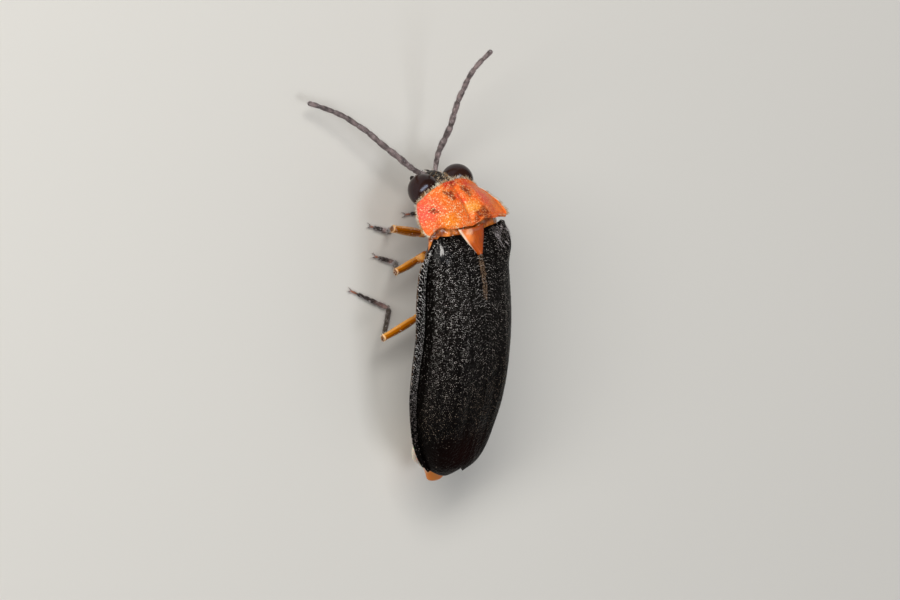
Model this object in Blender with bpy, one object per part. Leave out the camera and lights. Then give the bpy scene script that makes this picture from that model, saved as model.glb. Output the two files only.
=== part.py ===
"""A firefly as a still, life-size model on six feet. Metres, +Z up, head towards -Y."""
import math

import bmesh
import bpy
from mathutils import Matrix, Vector

MM = 0.001

# Spacing and thickness shared by all the pieces, in millimetres
GAP = 0.3
WALL = 0.5
LIMB = 0.25
MERGE = 0.002
GROUND_SIZE = 20

# Heights over the floor and lengths along the body, in millimetres
# The wing cases start near y = 0 and the head lies at negative y
CASE_START = 0.16
CASE_END = 7.8
MARGIN_HEIGHT = 1.88
SADDLE_HEIGHT = 3.38

# Wing case outline, as stops of (share of its length, size in millimetres)
CASE_HALF_WIDTH = [(0, 1.28), (0.04, 1.46), (0.12, 1.6), (0.35, 1.68), (0.6, 1.71),
                   (0.8, 1.58), (0.9, 1.34), (0.96, 1.08), (1, 0.78)]
CASE_TOP = [(0, 2.72), (0.06, 3.1), (0.17, 3.29), (0.35, SADDLE_HEIGHT), (0.54, 3.34),
            (0.74, 3.0), (0.87, 2.64), (0.95, 2.32), (1, 2.06)]
CASE_MARGIN = [(0, 2.62), (0.05, 2.46), (0.12, 2.24), (0.2, 2.1), (0.6, MARGIN_HEIGHT), (0.8, 1.78),
               (1, 1.72)]
CASE_INNER = [(0, 0.66), (0.065, 0.32), (0.11, 0.15), (0.93, 0.15), (1, 0.4)]
CASE_ROUNDNESS = [(0, 0.74), (0.45, 0.76), (0.75, 1.0), (1, 1.1)]
COSTA_HEIGHT = 0.05
COSTA_PLACES = (4, 8)
CASE_ROWS = 26
CASE_COLUMNS = 12

# Neck shield: its middle line and its side line, from the hind margin to the front margin
SHIELD_MIDDLE = (Vector((0, -0.34, 2.86)), Vector((0, -1.41, 1.91)))
SHIELD_SIDE = (Vector((1.65, -0.2, 2.6)), Vector((1.25, -0.87, 1.71)))
SHIELD_CROWN = 0.14
SHIELD_SIDE_BULGE = 0.12
SHIELD_FURROW = 0.05
SHIELD_EDGE = 0.2
SHIELD_HIND_CURL = 0.07
SHIELD_NORMAL = Vector((0, -0.66, 0.75))

# Neck block below the shield
NECK_START = -0.8
NECK_END = -0.25
NECK_HALF_WIDTH = 0.8
NECK_BOTTOM = 1.4
NECK_TOP = 2.25

# Head and eyes
HEAD_RINGS = [(-1.62, 0.18, 0.84, 1.2), (-1.55, 0.27, 0.72, 1.4), (-1.38, 0.31, 0.66, 1.52),
              (-1.2, 0.31, 0.66, 1.5), (-1.02, 0.28, 0.72, 1.4)]
EYE_MIDDLE = Vector((0.61, -1.1, 1.36))
EYE_RADII = Vector((0.54, 0.54, 0.56))

# Feelers: eleven joints along a bent line from root to tip
FEELER_JOINTS = 11
FEELER_LINES = {
    "left": [(0.44, -1.95, 0.95), (1.55, -2.5, 0.86), (2.8, -3.6, 0.75), (4.4, -4.43, 0.45)],
    "right": [(-0.4, -1.95, 0.95), (-0.42, -2.8, 1.25), (-0.1, -4.3, 1.9), (-0.75, -5.5, 2.98)],
}

# Scutellum: the small three-cornered plate between the wing cases
SCUTELLUM_HALF_WIDTH = 0.44
SCUTELLUM_BASE = Vector((0, -0.04, 2.68))
SCUTELLUM_TIP = Vector((0, 0.46, 3.02))

# Thorax below the wing cases, as rings of (y, half width, bottom, top)
THORAX_RINGS = [(0.1, 0.6, 1.62, 1.92), (0.35, 0.85, 1.55, 1.98), (0.8, 1.0, 1.38, 2.2),
                (1.8, 1.05, 1.34, 2.4), (2.7, 1.02, 1.36, 2.4), (3.05, 0.85, 1.42, 2.2)]

# Belly: one ring pair for each segment, then the pale lantern of the last two
BELLY_START = 3.35
BELLY_END = 6.45
BELLY_SEGMENTS = 5
LANTERN_END = 7.85
LANTERN_SEGMENTS = 2
BELLY_BOTTOM = [(0, 1.32), (0.3, 1.16), (1, 0.98)]
BELLY_HALF_WIDTH = [(0, 0.95), (0.12, 1.12), (0.45, 1.21), (0.75, 1.22), (0.9, 1.0), (1, 0.5)]
BELLY_THICKNESS = [(0, 0.5), (0.15, 0.62), (0.6, 0.64), (0.85, 0.52), (1, 0.3)]

# Legs: the places of each leg's joints over the floor, outwards from the body
LEG_JOINTS = {
    "front_left": [(0.42, -0.5, 1.0), (0.5, 0.3, 0.88), (1.76, -0.13, 1.2), (0.98, 0.36, 0.17),
                   (1.62, 0.08, 0.09)],
    "middle_left": [(0.45, 1.2, 1.04), (0.5, 1.16, 0.86), (1.66, 1.24, 1.22), (0.72, 1.4, 0.17),
                    (1.45, 1.06, 0.09)],
    "hind_left": [(0.45, 2.9, 1.04), (0.5, 2.96, 0.86), (2.12, 3.24, 1.12), (0.98, 2.78, 0.17),
                  (2.45, 1.92, 0.09)],
    "front_right": [(-0.42, -0.5, 1.0), (-0.5, 0.28, 0.88), (-1.72, -0.34, 1.2), (-0.92, 0.14, 0.17),
                    (0.2, 0.02, 0.09)],
    "middle_right": [(-0.45, 1.2, 1.04), (-0.5, 1.14, 0.86), (-1.74, 1.42, 1.22), (-1.3, 1.62, 0.17),
                     (-2.2, 1.3, 0.09)],
    "hind_right": [(-0.45, 2.9, 1.04), (-0.5, 2.94, 0.86), (-2.05, 3.5, 1.12), (-1.25, 3.3, 0.17),
                   (-2.5, 3.62, 0.09)],
}
LEG_THICKNESS = [(0.8, 1.05), (0.85, 1.1), (0.95, 0.9), (0.9, 0.55)]
LIMB_SIDES = 10
RING_POINTS = 24
RING_SQUARENESS = 0.9


def clear_scene():
    for obj in list(bpy.data.objects):
        bpy.data.objects.remove(obj, do_unlink=True)


def coloured(name, colour, roughness):
    """One surface finish: its colour and how dull it is."""
    material = bpy.data.materials.new(name)
    material.use_nodes = True
    shader = material.node_tree.nodes["Principled BSDF"]
    shader.inputs["Base Color"].default_value = (*colour, 1)
    shader.inputs["Roughness"].default_value = roughness
    shader.inputs["Metallic"].default_value = 0
    return material


def make_object(name, bm):
    """Turn a closed bmesh into an object, still in millimetres, with its faces outwards."""
    bmesh.ops.remove_doubles(bm, verts=bm.verts, dist=MERGE)
    bmesh.ops.recalc_face_normals(bm, faces=bm.faces)
    mesh = bpy.data.meshes.new(name)
    bm.to_mesh(mesh)
    bm.free()
    obj = bpy.data.objects.new(name, mesh)
    bpy.context.scene.collection.objects.link(obj)
    return obj


def finish_node(obj, material):
    """Take one node from millimetres to metres, with smooth shading and its finish."""
    obj.data.transform(Matrix.Scale(MM, 4))
    obj.data.materials.clear()
    obj.data.materials.append(material)
    obj.data.shade_smooth()
    obj.data.set_sharp_from_angle(angle=math.radians(40))


def stop_value(stops, t):
    """Read a smooth size between the stops of an outline at t from 0 to 1."""
    places = [stop[0] for stop in stops]
    sizes = [stop[1] for stop in stops]
    last = len(stops) - 2
    i = max(k for k in range(last + 1) if places[k] <= t or k == 0)
    step = places[i + 1] - places[i]
    s = (t - places[i]) / step

    def slope(k):
        low, high = max(k - 1, 0), min(k + 1, len(stops) - 1)
        return (sizes[high] - sizes[low]) / (places[high] - places[low])

    start, end = slope(i) * step, slope(i + 1) * step
    rise = sizes[i + 1] - sizes[i]
    return sizes[i] + start * s + (3 * rise - 2 * start - end) * s**2 + (start + end - 2 * rise) * s**3


def lofted(name, rings):
    """A closed solid through rings of points, bridged one to the next and capped."""
    bm = bmesh.new()
    loops = []
    for ring in rings:
        verts = [bm.verts.new(point) for point in ring]
        loops.append([bm.edges.new((verts[k - 1], verts[k])) for k in range(len(verts))])
    for before, after in zip(loops, loops[1:]):
        bmesh.ops.bridge_loops(bm, edges=before + after)
    bmesh.ops.holes_fill(bm, edges=loops[0] + loops[-1])
    return make_object(name, bm)


def oval_ring(y, half_width, bottom, top):
    """An upright oval across the body, a little squarer than an ellipse."""
    ring = []
    for k in range(RING_POINTS):
        angle = 2 * math.pi * k / RING_POINTS
        across = math.copysign(abs(math.cos(angle)) ** RING_SQUARENESS, math.cos(angle))
        upward = math.copysign(abs(math.sin(angle)) ** RING_SQUARENESS, math.sin(angle))
        height = (bottom + top) / 2 + (top - bottom) / 2 * upward
        ring.append(Vector((half_width * across, y, height)))
    return ring


def formed_shell(name, columns, rows, place):
    """A flat slab of cells whose points all go to place(u, v, w), each from 0 to 1."""
    bm = bmesh.new()
    bmesh.ops.create_grid(bm, x_segments=columns, y_segments=rows, size=0.5)
    walls = bmesh.ops.extrude_face_region(bm, geom=list(bm.faces), use_keep_orig=True)
    lower = [item for item in walls["geom"] if isinstance(item, bmesh.types.BMVert)]
    bmesh.ops.translate(bm, vec=Vector((0, 0, 1)), verts=lower)
    for vert in bm.verts:
        v, u, w = vert.co.x + 0.5, vert.co.y + 0.5, vert.co.z
        vert.co = place(u, v, w)
    return make_object(name, bm)


def tube(name, points, radii, sides=LIMB_SIDES):
    """A round limb along a line of points with a radius at each."""
    curve = bpy.data.curves.new(name, "CURVE")
    curve.dimensions = "3D"
    curve.bevel_depth = 1
    curve.bevel_resolution = sides // 2 - 2
    curve.use_fill_caps = True
    spline = curve.splines.new("POLY")
    spline.points.add(len(points) - 1)
    for spot, point, radius in zip(spline.points, points, radii):
        spot.co = (*point, 1)
        spot.radius = radius
    guide = bpy.data.objects.new(name, curve)
    bpy.context.scene.collection.objects.link(guide)
    depsgraph = bpy.context.evaluated_depsgraph_get()
    mesh = bpy.data.meshes.new_from_object(guide.evaluated_get(depsgraph))
    bpy.data.objects.remove(guide, do_unlink=True)
    bm = bmesh.new()
    bm.from_mesh(mesh)
    return make_object(name, bm)


def largest_shell(obj):
    """Keep only the largest closed surface of a node."""
    bm = bmesh.new()
    bm.from_mesh(obj.data)
    bmesh.ops.triangulate(bm, faces=bm.faces)
    bmesh.ops.remove_doubles(bm, verts=bm.verts, dist=MERGE)
    bmesh.ops.dissolve_degenerate(bm, edges=bm.edges, dist=MERGE)
    left = set(bm.verts)
    shells = []
    while left:
        found, queue = set(), [left.pop()]
        while queue:
            vert = queue.pop()
            found.add(vert)
            near = {edge.other_vert(vert) for edge in vert.link_edges} & left
            left -= near
            queue.extend(near)
        shells.append(found)
    biggest = max(shells, key=len)
    scraps = [vert for shell in shells if shell is not biggest for vert in shell]
    bmesh.ops.delete(bm, geom=scraps, context="VERTS")
    bm.to_mesh(obj.data)
    bm.free()


def combined(name, first, others, operation):
    """Join closed pieces to the first one, or cut them from it, as one closed body."""
    group = bpy.data.collections.new(name + "_pieces")
    bpy.context.scene.collection.children.link(group)
    for piece in others:
        bpy.context.scene.collection.objects.unlink(piece)
        group.objects.link(piece)
    change = first.modifiers.new("change", "BOOLEAN")
    change.operation = operation
    change.operand_type = "COLLECTION"
    change.collection = group
    change.solver = "EXACT"
    depsgraph = bpy.context.evaluated_depsgraph_get()
    mesh = bpy.data.meshes.new_from_object(first.evaluated_get(depsgraph))
    for piece in [first, *others]:
        bpy.data.objects.remove(piece, do_unlink=True)
    bpy.data.collections.remove(group)
    obj = bpy.data.objects.new(name, mesh)
    bpy.context.scene.collection.objects.link(obj)
    largest_shell(obj)
    return obj


def ground_block():
    """A large block whose top is the floor, to cut the soles flat."""
    bm = bmesh.new()
    bmesh.ops.create_cube(bm, size=GROUND_SIZE)
    bmesh.ops.translate(bm, vec=Vector((0, 0, -GROUND_SIZE / 2)), verts=bm.verts)
    return make_object("ground_block", bm)


def wing_case(name, side):
    """One hard wing case, a long shell with two faint lengthwise ribs."""
    def place(u, v, w):
        outer, inner = stop_value(CASE_HALF_WIDTH, u), stop_value(CASE_INNER, u)
        top, margin = stop_value(CASE_TOP, u), stop_value(CASE_MARGIN, u)
        y = CASE_START + (CASE_END - CASE_START - WALL * w) * u
        if w > 0.5:
            top -= WALL
            margin = min(margin, top - 0.06)
            outer -= min(WALL, 0.4 * (outer - inner))
        elif round(v * CASE_COLUMNS) in COSTA_PLACES:
            top += COSTA_HEIGHT * math.sin(math.pi * u)
            outer += COSTA_HEIGHT * math.sin(math.pi * u)
        angle, power = v * math.pi / 2, stop_value(CASE_ROUNDNESS, u)
        x = inner + (outer - inner) * math.sin(angle) ** power
        z = margin + (top - margin) * max(math.cos(angle), 0) ** power
        return Vector((side * x, y, z))

    return formed_shell(name, CASE_COLUMNS, CASE_ROWS, place)


def shield_point(u, v, w, spare=0):
    """A point of the shield from hind to front margin, side to side and top to underside."""
    u *= 1 + spare
    across = (2 * v - 1) * (1 + spare / 2)
    spread = abs(across)
    middle = SHIELD_MIDDLE[0].lerp(SHIELD_MIDDLE[1], u)
    edge = SHIELD_SIDE[0].lerp(SHIELD_SIDE[1], u)
    bulge = math.sin(math.pi * min(u, 1))
    x = (edge.x + SHIELD_SIDE_BULGE * bulge) * across
    y = middle.y + (edge.y - middle.y) * spread**2.2
    y -= SHIELD_HIND_CURL * (1 - min(u, 1)) * math.sin(math.pi * min(spread, 1)) ** 2
    z = edge.z + (middle.z + SHIELD_CROWN * bulge - edge.z) * (1 - spread**2)
    z -= SHIELD_FURROW * max(0, 1 - spread * 6)
    rim = min(max(abs(2 * u - 1), spread), 1) ** 2
    thickness = WALL + (SHIELD_EDGE - WALL) * rim + spare
    top = Vector((x * (1 - 0.05 * w), y, z)) + SHIELD_NORMAL * spare
    return top - SHIELD_NORMAL * (thickness + spare) * w


def shield_clearance():
    """The shield with the gap that its neighbours keep all round it."""
    return formed_shell("shield_clearance", 10, 6, lambda u, v, w: shield_point(u, v, w, GAP))


def neck_shield():
    """The broad plate over the head's root, fused to the neck block that carries the front legs."""
    plate = formed_shell("shield_plate", 20, 10, shield_point)
    rings = [oval_ring(NECK_START, NECK_HALF_WIDTH * 0.8, NECK_BOTTOM + 0.05, NECK_TOP - 0.2),
             oval_ring(NECK_START + 0.2, NECK_HALF_WIDTH, NECK_BOTTOM, NECK_TOP),
             oval_ring(NECK_END, NECK_HALF_WIDTH * 0.9, NECK_BOTTOM + 0.05, NECK_TOP + 0.2)]
    block = lofted("neck_block", rings)
    return combined("pronotum", plate, [block], "UNION")


def scutellum():
    """The small raised three-cornered plate between the roots of the wing cases."""
    def place(u, v, w):
        middle = SCUTELLUM_BASE.lerp(SCUTELLUM_TIP, u)
        across = (2 * v - 1) * SCUTELLUM_HALF_WIDTH * (1 - 0.9 * u) * (1 - 0.3 * w)
        return Vector((across, middle.y, middle.z - WALL * w))

    return formed_shell("scutellum", 4, 4, place)


def head():
    """The head between the eyes, down to the mouth, clear of the shield above it."""
    whole = lofted("whole_head", [oval_ring(*ring) for ring in HEAD_RINGS])
    return combined("head", whole, [shield_clearance()], "DIFFERENCE")


def eye(name, side):
    """One bulging eye whose flat inner face meets the side of the head."""
    bm = bmesh.new()
    bmesh.ops.create_uvsphere(bm, u_segments=20, v_segments=12, radius=1)
    everything = list(bm.verts) + list(bm.edges) + list(bm.faces)
    bmesh.ops.bisect_plane(bm, geom=everything, dist=1e-4, plane_co=(0, 0, 0),
                           plane_no=(side, 0, 0), clear_inner=True)
    bmesh.ops.holes_fill(bm, edges=[edge for edge in bm.edges if edge.is_boundary])
    bmesh.ops.scale(bm, vec=EYE_RADII, verts=bm.verts)
    middle = Vector((side * EYE_MIDDLE.x, EYE_MIDDLE.y, EYE_MIDDLE.z))
    bmesh.ops.translate(bm, vec=middle, verts=bm.verts)
    whole = make_object("whole_" + name, bm)
    return combined(name, whole, [shield_clearance()], "DIFFERENCE")


def bent_line(corners, t):
    """A point on the smooth line that two middle corners pull on."""
    a, b, c, d = (Vector(corner) for corner in corners)
    s = 1 - t
    return a * s**3 + b * 3 * s**2 * t + c * 3 * s * t**2 + d * t**3


def feeler(name, side):
    """One thread-like feeler of eleven joints, thinnest where two joints meet."""
    points, radii = [], []
    for joint in range(FEELER_JOINTS):
        for share, swell in ((0, 0.86), (0.45, 1), (0.85, 1.04)):
            t = (joint + share) / FEELER_JOINTS
            points.append(bent_line(FEELER_LINES[side], t))
            radii.append(LIMB * swell)
    points.append(bent_line(FEELER_LINES[side], 1))
    radii.append(LIMB * 0.5)
    return tube(name, points, radii, sides=8)


def limb_piece(name, start, end, first, last):
    """One straight length of a leg with rounded ends."""
    start, end = Vector(start), Vector(end)
    shares = (0, 0.1, 0.35, 0.7, 0.92, 1)
    swell = (0.6, 0.92, 1.0, 1.0, 0.92, 0.6)
    points = [start.lerp(end, share) for share in shares]
    radii = [LIMB * (first + (last - first) * share) * fat for share, fat in zip(shares, swell)]
    return tube(name, points, radii)


def leg(name):
    """Hip, thigh, shin and foot of one leg, fused, with a flat sole on the floor."""
    joints = LEG_JOINTS[name]
    pieces = []
    for k, (first, last) in enumerate(LEG_THICKNESS):
        start, end = Vector(joints[k]), Vector(joints[k + 1])
        reach = (end - start).normalized() * LIMB * 0.6
        start_point = start if k == 0 else start - reach
        end_point = end if k == len(LEG_THICKNESS) - 1 else end + reach
        pieces.append(limb_piece(f"{name}_{k}", start_point, end_point, first, last))
    whole = combined("whole_" + name, pieces[0], pieces[1:], "UNION")
    return combined("leg_" + name, whole, [ground_block()], "DIFFERENCE")


def ringed_belly(name, start, end, last_share, segments):
    """A flat ringed length of the belly, each plate a little wider at its hind edge."""
    rings = []
    whole = LANTERN_END - BELLY_START
    for k in range(segments):
        for share, swell in ((0.0, 0.97), (0.88, 1.0)):
            y = start + (end - start) * (k + share) / segments
            t = (y - BELLY_START) / whole
            half = stop_value(BELLY_HALF_WIDTH, t) * swell
            thick = stop_value(BELLY_THICKNESS, t) * swell
            bottom = stop_value(BELLY_BOTTOM, t)
            rings.append(oval_ring(y, half, bottom, bottom + thick))
    half = stop_value(BELLY_HALF_WIDTH, last_share) * 0.94
    thick = stop_value(BELLY_THICKNESS, last_share) * 0.9
    bottom = stop_value(BELLY_BOTTOM, last_share)
    rings.append(oval_ring(end, half, bottom + 0.03, bottom + thick))
    return lofted(name, rings)


def centre_on_floor():
    """Slide the whole model so that the middle of its box is over the origin."""
    corners = [obj.matrix_world @ vert.co for obj in bpy.data.objects for vert in obj.data.vertices]
    for axis in (0, 1):
        low = min(corner[axis] for corner in corners)
        high = max(corner[axis] for corner in corners)
        for obj in bpy.data.objects:
            obj.location[axis] -= (low + high) / 2
    bpy.context.view_layer.update()


def build():
    clear_scene()
    orange = coloured("orange_shield", (0.85, 0.27, 0.08), 0.45)
    brown = coloured("orange_brown_plate", (0.6, 0.2, 0.04), 0.3)
    black = coloured("black_wing_case", (0.02, 0.018, 0.016), 0.5)
    dark = coloured("black_head", (0.02, 0.016, 0.014), 0.45)
    glossy = coloured("glossy_eye", (0.02, 0.014, 0.012), 0.1)
    grey = coloured("grey_brown_feeler", (0.09, 0.075, 0.065), 0.7)
    amber = coloured("amber_leg", (0.5, 0.25, 0.04), 0.35)
    belly_brown = coloured("dark_belly", (0.05, 0.035, 0.025), 0.5)
    pale = coloured("pale_lantern", (0.75, 0.68, 0.5), 0.5)

    finish_node(neck_shield(), orange)
    finish_node(scutellum(), brown)
    finish_node(head(), dark)
    thorax = lofted("thorax", [oval_ring(*ring) for ring in THORAX_RINGS])
    finish_node(thorax, belly_brown)
    whole = LANTERN_END - BELLY_START
    parting = (BELLY_END - BELLY_START) / whole
    belly = ringed_belly("abdomen", BELLY_START, BELLY_END, parting, BELLY_SEGMENTS)
    finish_node(belly, belly_brown)
    lantern = ringed_belly("light_organ", BELLY_END + GAP, LANTERN_END, 1, LANTERN_SEGMENTS)
    finish_node(lantern, pale)
    for side_name, side in (("left", 1), ("right", -1)):
        finish_node(wing_case("elytron_" + side_name, side), black)
        finish_node(eye("eye_" + side_name, side), glossy)
        finish_node(feeler("antenna_" + side_name, side_name), grey)
    for name in LEG_JOINTS:
        finish_node(leg(name), amber)
    centre_on_floor()


build()
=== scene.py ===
# %% [markdown]
# # A life-size firefly
# A firefly is a small soft beetle: a broad orange shield covers its head, and two long black
# wing cases cover its back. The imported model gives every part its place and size.
# This lesson puts the looks round it: thin plates, feelers, legs, hairs and finishes.

# %% Load the measured model
import math

import bmesh
import bpy
import numpy as np
from mathutils import Matrix, Vector, noise


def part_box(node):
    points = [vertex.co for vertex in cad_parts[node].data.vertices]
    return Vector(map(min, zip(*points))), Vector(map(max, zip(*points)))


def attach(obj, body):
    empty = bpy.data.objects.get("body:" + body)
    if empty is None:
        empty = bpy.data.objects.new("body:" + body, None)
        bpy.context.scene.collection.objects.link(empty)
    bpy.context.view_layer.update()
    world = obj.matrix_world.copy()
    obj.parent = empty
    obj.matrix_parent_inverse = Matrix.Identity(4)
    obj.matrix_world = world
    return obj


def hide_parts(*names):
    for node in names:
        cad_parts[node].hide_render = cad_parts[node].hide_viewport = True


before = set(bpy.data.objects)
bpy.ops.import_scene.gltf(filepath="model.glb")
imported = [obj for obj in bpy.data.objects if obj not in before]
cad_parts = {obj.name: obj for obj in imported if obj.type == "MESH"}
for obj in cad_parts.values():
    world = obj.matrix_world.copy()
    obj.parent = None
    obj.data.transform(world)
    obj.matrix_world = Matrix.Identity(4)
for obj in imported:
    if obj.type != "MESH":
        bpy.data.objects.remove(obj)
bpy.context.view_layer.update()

# %% [markdown]
# All shapes below are drawn in millimetres from the root of the wing cases. X points to the
# insect's left, Y to its tail and Z up from the floor. One matrix then takes a finished mesh
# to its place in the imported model. The scutellum sits on the middle line, and the wing cases
# end 7.8 mm behind their root, so these two give the matrix.

# %% From millimetres to the model's place
MM = 0.001
CASE_BACK = 7.8
middle_x = (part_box("scutellum")[0].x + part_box("scutellum")[1].x) / 2
root_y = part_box("elytron_left")[1].y - CASE_BACK * MM
INTO_PLACE = Matrix.Translation((middle_x, root_y, 0)) @ Matrix.Scale(MM, 4)


def at(x, y, z):
    """A place in millimetres from the wing-case root, as a place in the model."""
    return INTO_PLACE @ Vector((x, y, z))


print("root of the wing cases at", at(0, 0, 0))

# %% [markdown]
# The picture was taken from the insect's left, above and a little in front, with the head
# towards the top of the frame. A long lens some way off gives the flat look of a close-up.
# The camera is built from two directions: the way back to it, and the way up in the picture.

# %% Camera
PICTURE_WIDTH = 26.87 * MM
LENS = 500
SENSOR = 36
AIM = at(0.94, 1.918, 2.822)
TO_CAMERA = Vector((0.643, -0.301, 0.704)).normalized()
PICTURE_UP = Vector((-0.211, -0.954, -0.215))

picture_right = PICTURE_UP.cross(TO_CAMERA).normalized()
picture_up = TO_CAMERA.cross(picture_right)
distance = PICTURE_WIDTH * LENS / SENSOR
camera = bpy.data.objects.new("camera", bpy.data.cameras.new("camera"))
camera.data.lens = LENS
camera.data.sensor_width = SENSOR
camera.data.clip_start = 0.01
camera.data.clip_end = 10
turn = Matrix((picture_right, picture_up, TO_CAMERA)).transposed().to_4x4()
camera.matrix_world = Matrix.Translation(AIM + TO_CAMERA * distance) @ turn
bpy.context.scene.collection.objects.link(camera)
bpy.context.scene.camera = camera
print("camera", round(distance, 3), "m away and", round(camera.location.z, 3), "m over the floor")

# %% [markdown]
# Small things look small when their light is soft and near. One large panel stands to the
# insect's left and front, a wide one hangs above, and a weak one fills the far side.

# %% Light panels


def light_panel(name, direction, away, size, power, colour, long=1.0, roll=0):
    """A soft light that faces the insect from a direction, so many times longer than wide."""
    lamp = bpy.data.lights.new(name, "AREA")
    lamp.shape = "RECTANGLE"
    lamp.size = size
    lamp.size_y = size * long
    lamp.energy = power
    lamp.color = colour
    panel = bpy.data.objects.new(name, lamp)
    direction = Vector(direction).normalized()
    panel.location = at(0, 2, 1.5) + direction * away
    facing = direction.to_track_quat("Z", "Y").to_matrix()
    panel.rotation_euler = (facing @ Matrix.Rotation(math.radians(roll), 3, "Z")).to_euler()
    bpy.context.scene.collection.objects.link(panel)
    return panel


light_panel("key_panel", (0.75, -0.64, 0.62), 0.16, 0.038, 0.3, (1.0, 0.97, 0.92), 5, 67)
light_panel("top_panel", (-0.1, 0.25, 1), 0.2, 0.1, 0.1, (0.95, 0.97, 1.0))
light_panel("fill_panel", (-0.8, 0.5, 0.55), 0.22, 0.14, 0.03, (1.0, 0.94, 0.88))

world = bpy.data.worlds.new("studio")
bpy.context.scene.world = world
world.use_nodes = True
world.node_tree.nodes["Background"].inputs["Color"].default_value = (0.92, 0.92, 0.92, 1)
world.node_tree.nodes["Background"].inputs["Strength"].default_value = 0.17
bpy.context.scene.view_settings.view_transform = "Standard"
print("lights:", [lamp.name for lamp in bpy.data.lights])

# %% [markdown]
# Each finish is one Principled shader with a few nodes before it. The helper below adds a
# node, sets its options and joins its inputs in one line, so a finish reads like a recipe.
# Patterns read Object coordinates, which are metres here. A grain of a twentieth of a
# millimetre therefore needs a noise scale of about 20,000.

# %% Helpers for finishes


def start_finish(name, colour, roughness, **sockets):
    """A new material and its shader, with plain values on the shader's own sockets."""
    finish = bpy.data.materials.new(name)
    finish.use_nodes = True
    shader = finish.node_tree.nodes["Principled BSDF"]
    shader.inputs["Base Color"].default_value = (*colour, 1)
    shader.inputs["Roughness"].default_value = roughness
    for socket, value in sockets.items():
        shader.inputs[socket.replace("_", " ")].default_value = value
    return finish, shader


def node(finish, kind, inputs=(), **options):
    """Add a node, set its options, and give its inputs values or links."""
    made = finish.node_tree.nodes.new("ShaderNode" + kind)
    for option, value in options.items():
        setattr(made, option, value)
    for socket, value in dict(inputs).items():
        if isinstance(value, bpy.types.NodeSocket):
            finish.node_tree.links.new(value, made.inputs[socket])
        else:
            made.inputs[socket].default_value = value
    return made


def join(finish, output, target):
    finish.node_tree.links.new(output, target)


def place_of(finish):
    """The Object coordinates of the piece."""
    return node(finish, "TexCoord").outputs["Object"]


def grain(finish, size, detail=2, place=None):
    """Noise whose blobs are about size millimetres across, from 0 to 1."""
    made = node(finish, "TexNoise", {"Vector": place or place_of(finish), "Scale": 0.5 / (size * MM),
                                     "Detail": detail})
    return made.outputs["Fac"]


def between(finish, value, low, high, start=0.0, end=1.0):
    """Stretch the values from low to high over start to end."""
    made = node(finish, "MapRange", {"Value": value, "From Min": low, "From Max": high,
                                     "To Min": start, "To Max": end})
    return made.outputs["Result"]


def blend(finish, amount, first, second, kind="MIX"):
    """Mix two colours, each a colour or a socket, by an amount from 0 to 1."""
    made = node(finish, "Mix", data_type="RGBA", blend_type=kind)
    for socket, value in ((0, amount), (6, first), (7, second)):
        if isinstance(value, bpy.types.NodeSocket):
            join(finish, value, made.inputs[socket])
        else:
            made.inputs[socket].default_value = value if socket == 0 else (*value, 1)
    return made.outputs[2]


def bumps(finish, shader, height, depth, strength=1.0, after=None):
    """Raise the surface by a height pattern of so many millimetres."""
    inputs = {"Height": height, "Distance": depth * MM, "Strength": strength}
    if after:
        inputs["Normal"] = after
    made = node(finish, "Bump", inputs)
    join(finish, made.outputs["Normal"], shader.inputs["Normal"])
    return made.outputs["Normal"]


def near(finish, x, y, z, inside, outside, place=None):
    """1 within a distance in millimetres of a spot, falling to 0 at the outside distance."""
    away = node(finish, "VectorMath", {0: place or place_of(finish), 1: tuple(at(x, y, z))},
                operation="DISTANCE")
    return between(finish, away.outputs["Value"], inside * MM, outside * MM, 1, 0)


print("finish helpers ready")

# %% [markdown]
# The studio floor is one wide pale sheet. It isn't part of the insect.

# %% Floor
bm = bmesh.new()
bmesh.ops.create_grid(bm, x_segments=8, y_segments=8, size=1.5)
floor_mesh = bpy.data.meshes.new("floor")
bm.to_mesh(floor_mesh)
bm.free()
floor = bpy.data.objects.new("floor", floor_mesh)
bpy.context.scene.collection.objects.link(floor)
paper, paper_shader = start_finish("pale_paper", (0.72, 0.71, 0.68), 0.85)
floor_mesh.materials.append(paper)
print("floor", floor.dimensions)

# %% [markdown]
# Every plate, limb and joint of a beetle is a thin curved sheet. So one helper makes a flat
# grid and sends each corner to place(u, v): u runs along the piece and v runs across or round
# it. The grid's own UV map goes with it, which gives each skin a true unwrap for free.
# A sheet that meets itself is merged along its seam, and its open ends are filled.

# %% Bend a grid into a piece


def profile(stops, t):
    """Read a smooth value between stops of (place, value)."""
    places = [stop[0] for stop in stops]
    values = [stop[1] for stop in stops]
    t = min(max(t, places[0]), places[-1])
    i = max(k for k in range(len(stops) - 1) if places[k] <= t)
    step = places[i + 1] - places[i]
    s = (t - places[i]) / step

    def slope(k):
        low, high = max(k - 1, 0), min(k + 1, len(stops) - 1)
        return (values[high] - values[low]) / (places[high] - places[low])

    start, end = slope(i) * step, slope(i + 1) * step
    rise = values[i + 1] - values[i]
    return values[i] + start * s + (3 * rise - 2 * start - end) * s**2 + (start + end - 2 * rise) * s**3


def bent_sheet(rows, columns, place, closed=False, turned=False):
    """A grid bent to place(u, v), as a bmesh with a UV map of its own."""
    bm = bmesh.new()
    bm.loops.layers.uv.new("unwrap")
    bmesh.ops.create_grid(bm, x_segments=columns, y_segments=rows, size=0.5, calc_uvs=True)
    for vert in bm.verts:
        vert.co = place(vert.co.y + 0.5, vert.co.x + 0.5)
    if closed:
        bmesh.ops.remove_doubles(bm, verts=bm.verts, dist=1e-4)
        rims = [edge for edge in bm.edges if edge.is_boundary]
        bmesh.ops.holes_fill(bm, edges=rims)
        bmesh.ops.recalc_face_normals(bm, faces=bm.faces)
    elif turned:
        bmesh.ops.reverse_faces(bm, faces=bm.faces)
    return bm


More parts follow.
